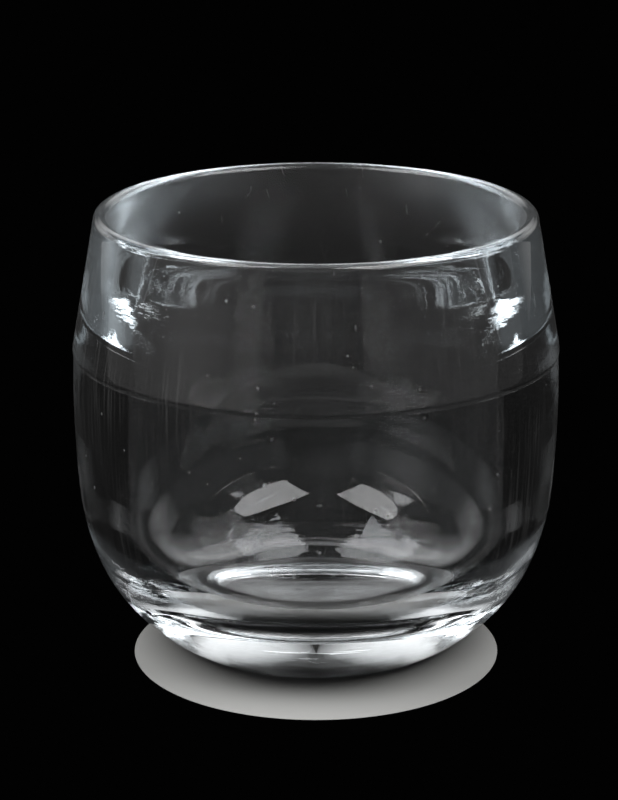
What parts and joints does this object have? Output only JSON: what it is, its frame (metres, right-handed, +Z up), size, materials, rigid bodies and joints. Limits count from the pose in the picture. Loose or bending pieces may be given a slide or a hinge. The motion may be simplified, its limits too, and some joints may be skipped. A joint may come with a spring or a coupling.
{
  "type": "cocktail glass",
  "caption": "Low stemless cocktail glass of thick clear glass: an inward-leaning collar over a crisp crease, a rounded belly and a heavy base. It holds a short drink.",
  "frame": {"origin": "centre of the foot, on the surface that the glass stands on", "axes": "+Z up the axis that the glass is turned about; X and Y are any two level directions square to it"},
  "size_m": [0.09, 0.09, 0.0821],
  "materials": {
    "clear_glass": "polished, water clear"
  },
  "bodies": {
    "root": {"collar": "clear_glass", "belly_wall": "clear_glass", "base": "clear_glass"}
  },
  "joints": []
}
